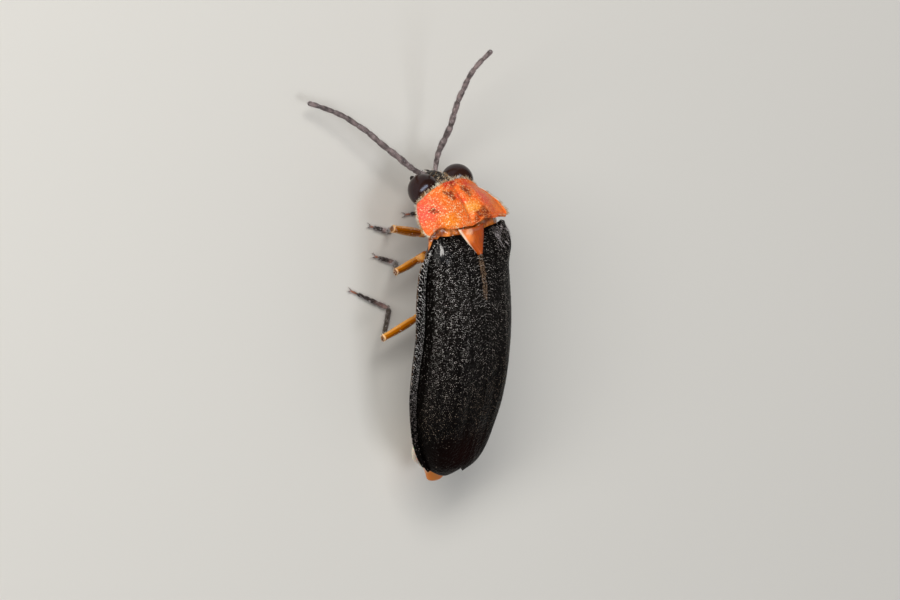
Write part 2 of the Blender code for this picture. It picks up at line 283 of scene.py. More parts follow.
def settle(name, bm, finish, replaces=(), wall=0.0, shown=True):
    """Make a bmesh a finished piece of the model, with a wall in millimetres if it is a sheet."""
    bmesh.ops.transform(bm, matrix=INTO_PLACE, verts=bm.verts)
    mesh = bpy.data.meshes.new(name)
    bm.to_mesh(mesh)
    bm.free()
    mesh.materials.append(finish)
    mesh.shade_smooth()
    piece = bpy.data.objects.new(name, mesh)
    bpy.context.scene.collection.objects.link(piece)
    if wall:
        thickness = piece.modifiers.new("wall", "SOLIDIFY")
        thickness.thickness = wall * MM
        thickness.offset = -1
    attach(piece, "root")
    if replaces:
        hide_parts(*replaces)
    print(name, len(mesh.polygons), "faces")
    return piece


# %% [markdown]
# ## Wing cases
# The wing cases are thin leathery shells that meet along the middle of the back. Each has a
# shoulder bump, three faint lengthwise ribs and a flat rim along its outer side. They could
# be sculpted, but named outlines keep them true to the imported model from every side:
# one line for the base, one for the tip, and profiles for width, top and rim along the body.

# %% Wing case outlines
SEAM = 0.012
RIM_START = 0.83
CASE_BASE = [(0, 0.58), (0.04, 0.34), (0.1, 0.06), (0.16, -0.01), (0.34, -0.04), (0.55, -0.08), (0.75, -0.06),
             (0.9, 0.1), (1, 0.4)]
CASE_TIP = [(0, 7.46), (0.1, 7.6), (0.25, 7.74), (0.42, 7.8), (0.62, 7.76), (0.82, 7.62), (1, 7.4)]
CASE_WIDTH = [(-0.1, 1.24), (0.1, 1.4), (0.45, 1.55), (1.1, 1.65), (2.8, 1.72), (4.7, 1.72), (5.8, 1.64),
              (6.6, 1.5), (7.2, 1.24), (7.6, 0.93), (7.8, 0.62)]
CASE_TOP = [(-0.1, 2.7), (0.1, 2.86), (0.58, 3.12), (1.5, 3.31), (2.3, 3.37), (3.3, 3.385), (4.4, 3.35),
            (5.1, 3.22), (5.8, 3.03), (6.4, 2.79), (7.0, 2.57), (7.46, 2.34), (7.8, 1.95)]
CASE_RIM = [(-0.1, 2.62), (0.2, 2.58), (0.5, 2.46), (1, 2.3), (1.7, 2.22), (3.2, 2.16), (4.2, 2.0),
            (5.0, 1.86), (5.8, 1.78), (7.8, 1.7)]
CASE_POWER = [(0, 0.54), (1, 0.54), (3.6, 0.54), (5.6, 0.68), (7.8, 0.88)]
CASE_SPREAD = 1.45
RIM_WIDTH = [(-0.1, 0.06), (0.5, 0.17), (1.2, 0.34), (3.5, 0.36), (5.5, 0.3), (6.5, 0.26), (7.8, 0.14)]
RIB_PLACES = (0.24, 0.47, 0.69)
REAR_WAVES = [(0.45, -0.05), (0.9, 0.03), (1.25, -0.05)]


def case_place(u, v, side):
    """A point on the outer face of a wing case, from base to tip and from seam to outer rim."""
    y = profile(CASE_BASE, v) * (1 - u) + profile(CASE_TIP, v) * u
    reach, top, low = profile(CASE_WIDTH, y), profile(CASE_TOP, y), profile(CASE_RIM, y)
    power, rim = profile(CASE_POWER, y), profile(RIM_WIDTH, y)
    reach += 0.13 * max(1 - y / 6, 0) * (side < 0)
    share = min(v / RIM_START, 1)
    share = share**CASE_SPREAD / (share**CASE_SPREAD + (1 - share) ** CASE_SPREAD)
    angle = share * math.pi / 2
    x = SEAM + (reach - rim - SEAM) * math.sin(angle) ** power
    z = low + (top - low) * max(math.cos(angle), 0) ** power
    if v > RIM_START:
        out = (v - RIM_START) / (1 - RIM_START)
        x += rim * out
        z += 0.03 * math.sin(math.pi * out) - 0.05 * math.exp(-(((out - 0.06) / 0.1) ** 2)) - 0.03 * out**6
    fade = math.sin(math.pi * min(max(u, 0), 1)) ** 0.6
    ribs = sum(math.exp(-(((v - place) / 0.022) ** 2)) for place in RIB_PLACES)
    shoulder = math.exp(-(((x - 1.28) / 0.32) ** 2) - ((y - 0.55) / 0.45) ** 2)
    rear = fade * min(max((y - 2.4) / 2.4, 0), 1)
    z += sum(height * math.exp(-(((x - place) / 0.16) ** 2)) for place, height in REAR_WAVES) * rear
    z += 0.02 * ribs * fade + 0.1 * shoulder + 0.03 * math.exp(-((v / 0.025) ** 2)) * fade
    x += 0.015 * ribs * fade * math.sin(angle) + 0.06 * shoulder * (side > 0)
    z += 0.035 * noise.noise(Vector((x * 1.1, y * 0.7, 5 + side))) * fade
    return Vector((side * x, y, z))


print("wing case is", CASE_BACK, "mm long")

# %% [markdown]
# The black of the wing cases is a satin brown-black. Fine pits cover it, the rim is tan near
# the shoulder, and a reddish tint lies at the tip. The pits are bump from a Voronoi pattern,
# as a pit is only a twentieth of a millimetre wide.

# %% Wing case finish
case_finish, shader = start_finish("wing_case_black", (0.003, 0.003, 0.003), 0.4, Specular_IOR_Level=0.035)
place = place_of(case_finish)
pits = node(case_finish, "TexVoronoi", {"Vector": place, "Scale": 13000.0}, feature="SMOOTH_F1")
pit_height = between(case_finish, pits.outputs["Distance"], 0.1, 0.6)
fine = grain(case_finish, 0.03, 3, place)
rough = between(case_finish, grain(case_finish, 0.25, 3, place), 0.35, 0.65, 0.36, 0.56)
join(case_finish, rough, shader.inputs["Roughness"])
shader.inputs["Coat Roughness"].default_value = 0.16
shader.inputs["Coat Tint"].default_value = (0.8, 0.87, 1.0, 1)
join(case_finish, near(case_finish, 1.33, 0.36, 2.9, 0.2, 0.42, place), shader.inputs["Coat Weight"])
tint = near(case_finish, 0.1, 7.0, 2.5, 0.2, 1.3, place)
unwrap = node(case_finish, "UVMap", uv_map="unwrap")
across = node(case_finish, "SeparateXYZ", {"Vector": unwrap.outputs["UV"]})
rim_mask = between(case_finish, across.outputs["X"], 0.993, 0.998)
along = between(case_finish, across.outputs["Y"], 0.4, 0.1)
tan_mask = node(case_finish, "Math", {0: rim_mask, 1: along}, operation="MULTIPLY").outputs[0]
mottled = blend(case_finish, grain(case_finish, 0.5, 4, place), (0.0008, 0.0006, 0.0006), (0.003, 0.0022, 0.0018))
reddish = blend(case_finish, tint, mottled, (0.006, 0.001, 0.0006))
tan = blend(case_finish, tan_mask, reddish, (0.1, 0.05, 0.022))
join(case_finish, tan, shader.inputs["Base Color"])
rough_skin = bumps(case_finish, shader, fine, 0.004, 0.5)
bumps(case_finish, shader, pit_height, 0.02, 0.9, rough_skin)
print("finish", case_finish.name)

# %% Two wing cases
cases = {}
for side_name, side in (("left", 1), ("right", -1)):
    sheet = bent_sheet(190, 72, lambda u, v: case_place(u, v, side), turned=side < 0)
    cases[side_name] = settle("wing_case_" + side_name, sheet, case_finish,
                              ["elytron_" + side_name], wall=0.08)

# %% [markdown]
# ## Neck shield
# The shield, or pronotum, is one curved plate over the root of the head. Its middle has a
# furrow with a soft swelling on each side, its edge is rolled up, and its hind corners point
# back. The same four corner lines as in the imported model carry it, and small hills and
# hollows are added on top, so it stays in place while it gains its modelling.

# %% Shield surface
SHIELD_MIDDLE = (Vector((0, -0.27, 2.86)), Vector((0, -1.41, 1.91)))
SHIELD_SIDE = (Vector((1.65, -0.2, 2.6)), Vector((1.25, -0.87, 1.71)))
SHIELD_NORMAL = Vector((0, -0.66, 0.75))
HIND_SWAY_LEFT = [(0, 0.0), (0.35, -0.02), (0.55, -0.08), (0.75, -0.2), (0.88, -0.12), (1, 0.06)]
HIND_SWAY_RIGHT = [(0, 0.0), (0.3, -0.1), (0.55, -0.05), (0.75, -0.04), (0.88, 0.0), (1, 0.06)]


def hill(u, v, middle_u, middle_v, size_u, size_v):
    """A smooth hill over one place of a sheet, 1 at its top."""
    return math.exp(-(((u - middle_u) / size_u) ** 2) - ((v - middle_v) / size_v) ** 2)


def shield_relief(u, across):
    """Height of the shield's own modelling in millimetres."""
    spread = abs(across)
    relief = 0.07 * hill(u, spread, 0.45, 0.42, 0.3, 0.22) - 0.08 * hill(u, spread, 0.5, 0, 0.6, 0.06)
    relief += 0.05 * hill(u, spread, 0.12, 0.2, 0.14, 0.2)
    relief -= 0.07 * hill(u, spread, 0.16, 0.72, 0.14, 0.16)
    edge = min(u * 1.3, 1 - u, (1 - spread) * 1.4)
    relief += 0.045 * math.exp(-((edge / 0.035) ** 2)) - 0.012 * math.exp(-(((edge - 0.09) / 0.05) ** 2))
    return relief + 0.03 * noise.noise(Vector((across * 4, u * 4, 1)))


def shield_place(u, v):
    """A point of the shield's top, from hind to front margin and from right to left."""
    across = 2 * v - 1
    spread = abs(across)
    middle = SHIELD_MIDDLE[0].lerp(SHIELD_MIDDLE[1], u)
    edge = SHIELD_SIDE[0].lerp(SHIELD_SIDE[1], u)
    bulge = math.sin(math.pi * u)
    x = (edge.x + 0.12 * bulge - 0.08 * math.exp(-((u / 0.07) ** 2))) * across
    sway = profile(HIND_SWAY_LEFT if across > 0 else HIND_SWAY_RIGHT, spread)
    y = middle.y + (edge.y - middle.y) * spread**2.2 + sway * (1 - u) ** 2
    z = edge.z + (middle.z + 0.14 * bulge - edge.z) * (1 - spread**2)
    return Vector((x, y, z)) + SHIELD_NORMAL * shield_relief(u, across)


print("shield from", shield_place(0, 0.5), "to", shield_place(1, 0.5))

# %% [markdown]
# The shield's orange runs from pink-red at the left front corner to yellow at the hind margin,
# with brown clouds and one dark pit. Each zone and cloud is a distance from a spot, with its
# border broken by noise, so the pattern sits on the plate from every side. Granules come last:
# each Voronoi cell is one raised grain, some of them paler, with a red furrow between them that
# is darkened with painted shade. Painted glints sit on the tips of some grains, mostly on the lit
# left of the shield.

# %% Shield finish
SHIELD_ZONES = [
    (1.33, -0.75, 2.06, 0.2, 0.8, (1.0, 0.13, 0.09)),
    (-0.8, -0.85, 2.42, 0.16, 0.42, (0.95, 0.08, 0.025)),
    (0.08, -1.05, 2.28, 0.06, 0.2, (0.9, 0.06, 0.01)),
    (0.05, -0.85, 2.45, 0.05, 0.18, (0.9, 0.05, 0.01)),
    (0.78, -0.42, 2.78, 0.05, 0.42, (1.0, 0.31, 0.012)),
    (-0.2, -0.68, 2.62, 0.1, 0.3, (1.0, 0.36, 0.04)),
    (0, -1.36, 1.92, 0.1, 0.26, (0.36, 0.014, 0.008)),
    (0.22, -1.36, 1.96, 0.06, 0.24, (0.72, 0.04, 0.012)),
    (-0.5, -1.22, 2.02, 0.08, 0.34, (0.8, 0.055, 0.012)),
    (0.75, -0.2, 2.72, 0.03, 0.2, (0.85, 0.09, 0.012)),
    (-1.0, -0.3, 2.66, 0.1, 0.34, (0.85, 0.1, 0.015)),
]
SHIELD_CLOUDS = [(0.36, -1.15, 2.2, 0.08, 0.2), (0.28, -1.02, 2.34, 0.05, 0.14), (-0.29, -1.14, 2.22, 0.08, 0.2),
                 (-0.34, -1.0, 2.36, 0.05, 0.14), (-0.3, -0.52, 2.8, 0.06, 0.16), (-0.55, -0.52, 2.75, 0.1, 0.22),
                 (-0.15, -0.36, 2.86, 0.03, 0.16), (-0.5, -0.35, 2.84, 0.05, 0.18), (-0.8, -0.33, 2.79, 0.03, 0.18),
                 (1.12, -0.78, 2.29, 0.05, 0.12), (1.02, -0.74, 2.36, 0.03, 0.08)]
shield_finish, shader = start_finish("shield_orange", (0.9, 0.2, 0.03), 0.32, Subsurface_Weight=0.1,
                                      Specular_IOR_Level=0.16)
shader.inputs["Subsurface Scale"].default_value = 0.0002
shader.inputs["Coat Weight"].default_value = 0.08
shader.inputs["Coat Roughness"].default_value = 0.2
place = place_of(shield_finish)
shake = node(shield_finish, "TexNoise", {"Vector": place, "Scale": 3600.0, "Detail": 4.0})
shift = node(shield_finish, "VectorMath", {0: shake.outputs["Color"], 1: (0.5, 0.5, 0.5)},
             operation="SUBTRACT")
spread = node(shield_finish, "VectorMath", {0: shift.outputs[0], "Scale": 0.0005}, operation="SCALE")
loose = node(shield_finish, "VectorMath", {0: place, 1: spread.outputs[0]}, operation="ADD").outputs[0]
colour = blend(shield_finish, grain(shield_finish, 0.3, 4, place), (0.95, 0.14, 0.014), (1.0, 0.27, 0.035))
for x, y, z, inside, outside, tone in SHIELD_ZONES:
    colour = blend(shield_finish, near(shield_finish, x, y, z, inside, outside, loose), colour, tone)
for x, y, z, inside, outside in SHIELD_CLOUDS:
    cloud = near(shield_finish, x, y, z, inside, outside, loose)
    colour = blend(shield_finish, cloud, colour, (0.27, 0.026, 0.002))

granules = node(shield_finish, "TexVoronoi", {"Vector": place, "Scale": 20500.0})
own_tone = node(shield_finish, "SeparateColor", {"Color": granules.outputs["Color"]}).outputs["Red"]
light_granules = between(shield_finish, own_tone, 0.5, 1.0, 0.0, 0.4)
colour = blend(shield_finish, light_granules, colour, (1.0, 0.5, 0.15))
# Painted shade: the furrows between the granules are darkened, as where shade falls.
furrow_painted_shade = between(shield_finish, granules.outputs["Distance"], 0.35, 0.8, 0.0, 0.7)
colour = blend(shield_finish, furrow_painted_shade, colour, (0.75, 0.4, 0.3), "MULTIPLY")
# Painted glints: pale dots on the tips of some granules, mostly on the lit left of the shield.
shield_painted_glints = between(shield_finish, granules.outputs["Distance"], 0.5, 0.15)
chosen = between(shield_finish, own_tone, 0.4, 1.0)
sunlit = near(shield_finish, 0.9, -0.6, 2.6, 0.5, 1.9, place)
for mask in (chosen, sunlit):
    shield_painted_glints = node(shield_finish, "Math", {0: shield_painted_glints, 1: mask}, operation="MULTIPLY").outputs[0]
colour = blend(shield_finish, shield_painted_glints, colour, (1.0, 0.92, 0.68))
join(shield_finish, colour, shader.inputs["Base Color"])
pit_height = between(shield_finish, granules.outputs["Distance"], 0.1, 0.7, 1.0, 0.0)
wrinkled = bumps(shield_finish, shader, grain(shield_finish, 0.12, 3, place), 0.02, 0.6)
bumps(shield_finish, shader, pit_height, 0.022, 0.9, wrinkled)
print("finish", shield_finish.name)

# %% Neck shield
sheet = bent_sheet(90, 150, shield_place, turned=True)
shield = settle("neck_shield", sheet, shield_finish, ["pronotum"], wall=0.09)

# %% [markdown]
# ## Scutellum and back strip
# Between the shield and the wing cases lie two glossy amber plates: a narrow strip, and the
# scutellum, a small triangle whose tip starts the seam. Both are bent sheets with a wall.

# %% Scutellum and back strip
SCUTELLUM_BASE = Vector((0, -0.16, 2.7))
SCUTELLUM_TIP = Vector((0, 0.6, 3.1))


def scutellum_place(u, v):
    """A point of the triangle, from its base to its tip."""
    across = 2 * v - 1
    half = 0.45 * (1 - u**1.3) + 0.012
    middle = SCUTELLUM_BASE.lerp(SCUTELLUM_TIP, u)
    raised = 0.16 * (1 - across**4) * (1 - 0.6 * u) - 0.05 * hill(u, across, 0.2, 0, 0.12, 0.6)
    raised += 0.02 * noise.noise(Vector((across * 2.4, u * 4, 8)))
    return Vector((across * half, middle.y, middle.z + raised))


def strip_place(u, v):
    """A point of the strip before the wing cases, from its front to its hind edge."""
    across = 2 * v - 1
    y = -0.5 + 0.8 * u + 0.1 * across**2
    z = 2.48 + 0.18 * u - 0.34 * across**4 + 0.1 * math.sin(math.pi * u) - 0.06 * hill(u, abs(across), 0.5, 0.45, 0.4, 0.12)
    return Vector((1.35 * across, y, z + 0.03 * noise.noise(Vector((across * 6, u * 4, 2)))))


amber_plate, shader = start_finish("amber_plate", (0.5, 0.12, 0.01), 0.22, Subsurface_Weight=0.15)
shader.inputs["Subsurface Scale"].default_value = 0.0002
shader.inputs["Coat Weight"].default_value = 0.7
shader.inputs["Coat Roughness"].default_value = 0.16
amber_mix = blend(amber_plate, grain(amber_plate, 0.2, 4), (0.3, 0.04, 0.001), (0.58, 0.11, 0.004))
# Painted light: the front left of the scutellum is painted lighter and pinker, as on its lit side.
painted_lit_side = near(amber_plate, 0.3, 0.08, 2.86, 0.08, 0.3)
amber_mix = blend(amber_plate, painted_lit_side, amber_mix, (0.95, 0.27, 0.06))
unwrap = node(amber_plate, "UVMap", uv_map="unwrap")
across_and_along = node(amber_plate, "SeparateXYZ", {"Vector": unwrap.outputs["UV"]})
# Painted highlight: a pale line along the scutellum's left edge, where its glossy rim would catch the light.
left_edge_painted_highlight = between(amber_plate, across_and_along.outputs["X"], 0.925, 0.975)
shaded = between(amber_plate, across_and_along.outputs["X"], 0.62, 0.4)
amber_mix = blend(amber_plate, shaded, amber_mix, (0.36, 0.055, 0.002))
amber_mix = blend(amber_plate, left_edge_painted_highlight, amber_mix, (1.0, 0.76, 0.6))
# Painted highlight: a pale pink spot at the front of the scutellum.
front_painted_highlight = near(amber_plate, 0.2, -0.06, 2.84, 0.05, 0.17)
amber_mix = blend(amber_plate, front_painted_highlight, amber_mix, (1.0, 0.62, 0.42))
join(amber_plate, amber_mix, shader.inputs["Base Color"])
pits = node(amber_plate, "TexVoronoi", {"Vector": place_of(amber_plate), "Scale": 14000.0}, feature="SMOOTH_F1")
wrinkled = bumps(amber_plate, shader, grain(amber_plate, 0.16, 3), 0.04, 0.8)
amber_skin = bumps(amber_plate, shader, pits.outputs["Distance"], 0.02, 0.8, wrinkled)
join(amber_plate, amber_skin, shader.inputs["Coat Normal"])

strip_finish, shader = start_finish("back_strip_brown", (0.2, 0.055, 0.01), 0.25)
shader.inputs["Coat Weight"].default_value = 0.8
shader.inputs["Coat Roughness"].default_value = 0.1
strip_patches = between(strip_finish, grain(strip_finish, 0.15, 4), 0.4, 0.62)
strip_mix = blend(strip_finish, strip_patches, (0.26, 0.05, 0.004), (0.9, 0.28, 0.045))
strip_glints = between(strip_finish, grain(strip_finish, 0.09, 1), 0.63, 0.68)
strip_mix = blend(strip_finish, strip_glints, strip_mix, (1.0, 0.76, 0.62))
join(strip_finish, strip_mix, shader.inputs["Base Color"])
strip_skin = bumps(strip_finish, shader, grain(strip_finish, 0.14, 3), 0.09, 1.0)
join(strip_finish, strip_skin, shader.inputs["Coat Normal"])

scutellum = settle("scutellum_plate", bent_sheet(30, 30, scutellum_place, turned=True), amber_plate,
                   ["scutellum"], wall=0.07)
strip = settle("back_strip", bent_sheet(16, 48, strip_place, turned=True), strip_finish, wall=0.07)

# %% [markdown]
# ## Round pieces
# A head, a limb, a feeler joint and a belly are all tubes round a line. The helper below sends
# a grid round a smooth line, with a half width and a half height at every place on it.

# %% Tubes round a line


def smooth_line(points):
    """A function that gives the point at t from 0 to 1 on a smooth line through the points."""
    points = [Vector(point) for point in points]
    reach = [0.0]
    for before, after in zip(points, points[1:]):
        reach.append(reach[-1] + (after - before).length)
    stops = [[(r / reach[-1], point[axis]) for r, point in zip(reach, points)] for axis in range(3)]
    return lambda t: Vector((profile(stops[0], t), profile(stops[1], t), profile(stops[2], t)))


def tube(rows, columns, line, widths, over=(0, 0, 1), keel=0.0):
    """A closed tube round a line, where widths(u) gives its half width and half height."""
    def place(u, v):
        ahead = (line(min(u + 0.01, 1)) - line(max(u - 0.01, 0))).normalized()
        side = ahead.cross(Vector(over)).normalized()
        up = side.cross(ahead)
        wide, high = widths(u)
        angle = 2 * math.pi * v
        wide *= 1 + keel * math.exp(-((math.sin(angle) / 0.3) ** 2))
        return line(u) + side * wide * math.cos(angle) + up * high * math.sin(angle)

    return bent_sheet(rows, columns, place, closed=True)


def gather(parts):
    """Put several bmeshes together in one."""
    whole = bmesh.new()
    for part in parts:
        carrier = bpy.data.meshes.new("carrier")
        part.to_mesh(carrier)
        part.free()
        whole.from_mesh(carrier)
        bpy.data.meshes.remove(carrier)
    return whole


def round_end(u, share):
    """Shrink a width to a rounded end over the first and last share of a tube."""
    edge = min(u, 1 - u) / share
    return math.sqrt(max(1 - (1 - min(edge, 1)) ** 2, 0.0004))


print("tube helpers ready")

# %% [markdown]
# ## Head
# The head hangs under the shield. It is narrow between two very large eyes and bends down to
# the mouth. One tube from neck to mouth makes the skull, and the eyes stay separate pieces,
# as a wet-looking eye has a finish of its own.

# %% Skull
SKULL_WIDE = [(0, 0.5), (0.3, 0.52), (0.5, 0.44), (0.72, 0.36), (0.9, 0.3), (1, 0.18)]
SKULL_HIGH = [(0, 0.32), (0.3, 0.46), (0.5, 0.48), (0.72, 0.36), (0.9, 0.24), (1, 0.13)]
skull_line = smooth_line([(0, -0.45, 1.85), (0, -0.78, 1.62), (0, -1.02, 1.42), (0, -1.19, 1.2),
                          (0, -1.27, 1.0), (0, -1.28, 0.8)])

skull_finish, shader = start_finish("skull_black", (0.014, 0.01, 0.008), 0.4, Specular_IOR_Level=0.35)
skull_colour = blend(skull_finish, grain(skull_finish, 0.2, 3), (0.004, 0.003, 0.003), (0.018, 0.01, 0.006))
join(skull_finish, skull_colour, shader.inputs["Base Color"])
bumps(skull_finish, shader, grain(skull_finish, 0.05, 3), 0.015, 0.8)


def skull_widths(u):
    swell = 1 - 0.06 * hill(u, 0, 0.62, 0, 0.05, 1)
    return profile(SKULL_WIDE, u) * swell, profile(SKULL_HIGH, u)


skull = settle("skull", tube(60, 48, skull_line, skull_widths, (0, 0.5, 1)), skull_finish, ["head"])

# %% [markdown]
# Each eye is a ball of tiny lenses. The ball comes from create_uvsphere, and the lenses are a
# very fine Voronoi bump under a clear coat, which gives the soft window of light on it.

# %% Eyes
EYE_MIDDLES = {"left": (0.62, -1.12, 1.37), "right": (-0.75, -1.14, 1.35)}
EYE_RADII = (0.47, 0.5, 0.51)

eye_finish, shader = start_finish("eye_brown_black", (0.012, 0.006, 0.006), 0.18, Specular_IOR_Level=0.36,
                                   Specular_Tint=(0.6, 0.72, 1.0, 1))
shader.inputs["Coat Weight"].default_value = 0.03
shader.inputs["Coat Roughness"].default_value = 0.35
eye_colour = blend(eye_finish, grain(eye_finish, 0.3, 2), (0.01, 0.003, 0.0012), (0.034, 0.011, 0.005))
join(eye_finish, eye_colour, shader.inputs["Base Color"])
lenses = node(eye_finish, "TexVoronoi", {"Vector": place_of(eye_finish), "Scale": 38000.0})
bumps(eye_finish, shader, lenses.outputs["Distance"], 0.002, 0.5)

for side_name, middle in EYE_MIDDLES.items():
    ball = bmesh.new()
    ball.loops.layers.uv.new("unwrap")
    bmesh.ops.create_uvsphere(ball, u_segments=64, v_segments=40, radius=1, calc_uvs=True)
    bmesh.ops.scale(ball, vec=EYE_RADII, verts=ball.verts)
    bmesh.ops.translate(ball, vec=middle, verts=ball.verts)
    settle("eye_ball_" + side_name, ball, eye_finish, ["eye_" + side_name])

# %% [markdown]
# Below the face sit two curved jaws and four feelers of the mouth, called palps. They are
# short tubes, thick at the last joint.

# %% Jaws and palps


def bead_tube(points, radius, ends, columns=14, rows_each=8, waist=0.72, tip=0.55):
    """A jointed tube: it narrows to a waist wherever one joint meets the next."""
    def widths(u):
        k = max(i for i in range(len(ends) - 1) if ends[i] <= u + 1e-9)
        share = min((u - ends[k]) / (ends[k + 1] - ends[k]), 1)
        rise = min(share / 0.55, 1)
        swell = waist + (1 - waist) * math.sin(rise * math.pi / 2)
        if share > 0.88:
            swell *= 1 - (1 - waist) * ((share - 0.88) / 0.12) ** 2
        size = radius(u) * swell
        if u > 1 - 1e-6:
            size *= tip
        return size, size

    return tube(rows_each * (len(ends) - 1), columns, smooth_line(points), widths)


mouth = []
for side in (1, -1):
    jaw = [(side * 0.17, -1.3, 0.82), (side * 0.16, -1.42, 0.74), (side * 0.02, -1.48, 0.68)]
    mouth.append(tube(14, 12, smooth_line(jaw), lambda u: (0.055 * (1.05 - u), 0.045 * (1.05 - u))))
    palp = [(side * 0.16, -1.2, 0.78), (side * 0.24, -1.24, 0.62), (side * 0.27, -1.22, 0.42)]
    mouth.append(bead_tube(palp, lambda u: 0.045 + 0.03 * u, [0, 0.2, 0.45, 0.65, 1]))
    palp = [(side * 0.08, -1.2, 0.72), (side * 0.11, -1.26, 0.58), (side * 0.13, -1.25, 0.46)]
    mouth.append(bead_tube(palp, lambda u: 0.032 + 0.012 * u, [0, 0.3, 0.6, 1]))
settle("mouth_parts", gather(mouth), skull_finish)

# %% [markdown]
# ## Feelers
# A firefly's feeler has eleven joints: a stout first one, a short second one and nine alike.
# Both feelers follow lines read from the picture, and each joint flares towards its tip.

# %% Feelers
FEELER_LEFT = [(0.15, -1.42, 1.06), (0.5, -1.59, 0.9), (1.21, -2.18, 0.89), (1.89, -2.76, 0.84), (2.36, -3.2, 0.79),
               (2.8, -3.53, 0.74), (3.15, -3.8, 0.68), (3.78, -4.15, 0.57), (4.39, -4.44, 0.45)]
FEELER_RIGHT = [(-0.15, -1.42, 1.06), (-0.25, -1.62, 0.95), (-0.29, -2.08, 1.06), (-0.4, -2.49, 1.21),
                (-0.49, -2.88, 1.36), (-0.48, -3.3, 1.53), (-0.47, -3.83, 1.77), (-0.49, -4.21, 1.98),
                (-0.5, -4.64, 2.23), (-0.57, -5.04, 2.52), (-0.66, -5.29, 2.74), (-0.73, -5.52, 2.95)]
FEELER_ENDS = [0, 0.1, 0.15] + [0.15 + 0.85 * (k + 1) / 9 for k in range(9)]

feeler_finish, shader = start_finish("feeler_grey_brown", (0.09, 0.07, 0.065), 0.6)
feeler_patches = between(feeler_finish, grain(feeler_finish, 0.1, 3), 0.35, 0.65)
feeler_mix = blend(feeler_finish, feeler_patches, (0.045, 0.035, 0.035), (0.26, 0.2, 0.2))
join(feeler_finish, feeler_mix, shader.inputs["Base Color"])
bumps(feeler_finish, shader, grain(feeler_finish, 0.03, 3), 0.012, 0.8)


def feeler_size(u):
    return profile([(0, 0.06), (0.1, 0.082), (0.22, 0.097), (0.5, 0.087), (1, 0.07)], u)


feelers = []
for side_name, points in (("left", FEELER_LEFT), ("right", FEELER_RIGHT)):
    tube_mesh = bead_tube(points, feeler_size, FEELER_ENDS, columns=18, rows_each=11)
    feelers.append(settle("feeler_" + side_name, tube_mesh, feeler_finish, ["antenna_" + side_name]))

# %% [markdown]
# ## Legs
# A leg is a hip, a ring, a swollen thigh, a thin shin and a foot of five joints with two
# claws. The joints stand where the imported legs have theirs, and only the thickness changes
# to the real one. Thighs are glossy amber with a pale keel on each side, shins are dark and
# feet are a mottled rose brown, so a leg is three pieces. A keel is a swelling in the tube's
# width at its two sides, and the finish finds it by the angle in the tube's own unwrap.

# %% Leg joints
LEG_JOINTS = {
    "front_left": [(0.32, 0.05, 1.4), (0.3, 0.4, 0.92), (1.76, -0.13, 1.2), (0.98, 0.36, 0.15), (1.62, 0.08, 0.06)],
    "middle_left": [(0.45, 1.0, 1.3), (0.5, 1.16, 0.95), (1.66, 1.24, 1.22), (0.72, 1.4, 0.15), (1.45, 1.06, 0.06)],
    "hind_left": [(0.45, 2.7, 1.3), (0.5, 2.96, 0.95), (2.12, 3.24, 1.12), (0.98, 2.78, 0.15), (2.45, 1.92, 0.06)],
    "front_right": [(-0.32, 0.05, 1.4), (-0.3, 0.36, 0.92), (-1.72, -0.34, 1.2), (-0.92, 0.14, 0.15),
                    (0.2, 0.02, 0.06)],
    "middle_right": [(-0.45, 1.0, 1.3), (-0.5, 1.14, 0.95), (-1.74, 1.42, 1.22), (-1.3, 1.62, 0.15),
                     (-2.2, 1.3, 0.06)],
    "hind_right": [(-0.45, 2.7, 1.3), (-0.5, 2.94, 0.95), (-2.05, 3.5, 1.12), (-1.25, 3.3, 0.15), (-2.5, 3.62, 0.06)],
}
FOOT_ENDS = [0, 0.27, 0.47, 0.64, 0.8, 1]

amber_finish, shader = start_finish("thigh_amber", (0.5, 0.17, 0.012), 0.25, Subsurface_Weight=0.1,
                                     Specular_IOR_Level=0.18)
shader.inputs["Subsurface Scale"].default_value = 0.0002
shader.inputs["Coat Weight"].default_value = 0.2
shader.inputs["Coat Roughness"].default_value = 0.12
amber_mix = blend(amber_finish, grain(amber_finish, 0.3, 3), (0.27, 0.064, 0.0004), (0.5, 0.15, 0.0008))
unwrap = node(amber_finish, "UVMap", uv_map="unwrap")
round_and_along = node(amber_finish, "SeparateXYZ", {"Vector": unwrap.outputs["UV"]})
turned_by = node(amber_finish, "Math", {0: round_and_along.outputs["X"], 1: 2 * math.pi}, operation="MULTIPLY")
sideways = node(amber_finish, "Math", {0: turned_by.outputs[0]}, operation="COSINE")
keel_side = node(amber_finish, "Math", {0: sideways.outputs[0]}, operation="ABSOLUTE")
keels = between(amber_finish, keel_side.outputs[0], 0.72, 0.93)
amber_mix = blend(amber_finish, keels, amber_mix, (0.72, 0.33, 0.07))
ridge_line = between(amber_finish, keel_side.outputs[0], 0.14, 0.04)
amber_mix = blend(amber_finish, ridge_line, amber_mix, (0.16, 0.04, 0.002))
knees = between(amber_finish, round_and_along.outputs["Y"], 0.93, 0.955)
amber_mix = blend(amber_finish, knees, amber_mix, (0.85, 0.52, 0.25))
sockets = between(amber_finish, round_and_along.outputs["Y"], 0.965, 0.985)
amber_mix = blend(amber_finish, sockets, amber_mix, (0.12, 0.04, 0.01))
join(amber_finish, amber_mix, shader.inputs["Base Color"])
bumps(amber_finish, shader, grain(amber_finish, 0.06, 3), 0.01, 0.6)

shin_finish, shader = start_finish("shin_dark_brown", (0.05, 0.035, 0.025), 0.45)
shin_mix = blend(shin_finish, grain(shin_finish, 0.15, 3), (0.012, 0.009, 0.006), (0.06, 0.042, 0.028))
join(shin_finish, shin_mix, shader.inputs["Base Color"])
bumps(shin_finish, shader, grain(shin_finish, 0.04, 3), 0.012, 0.8)

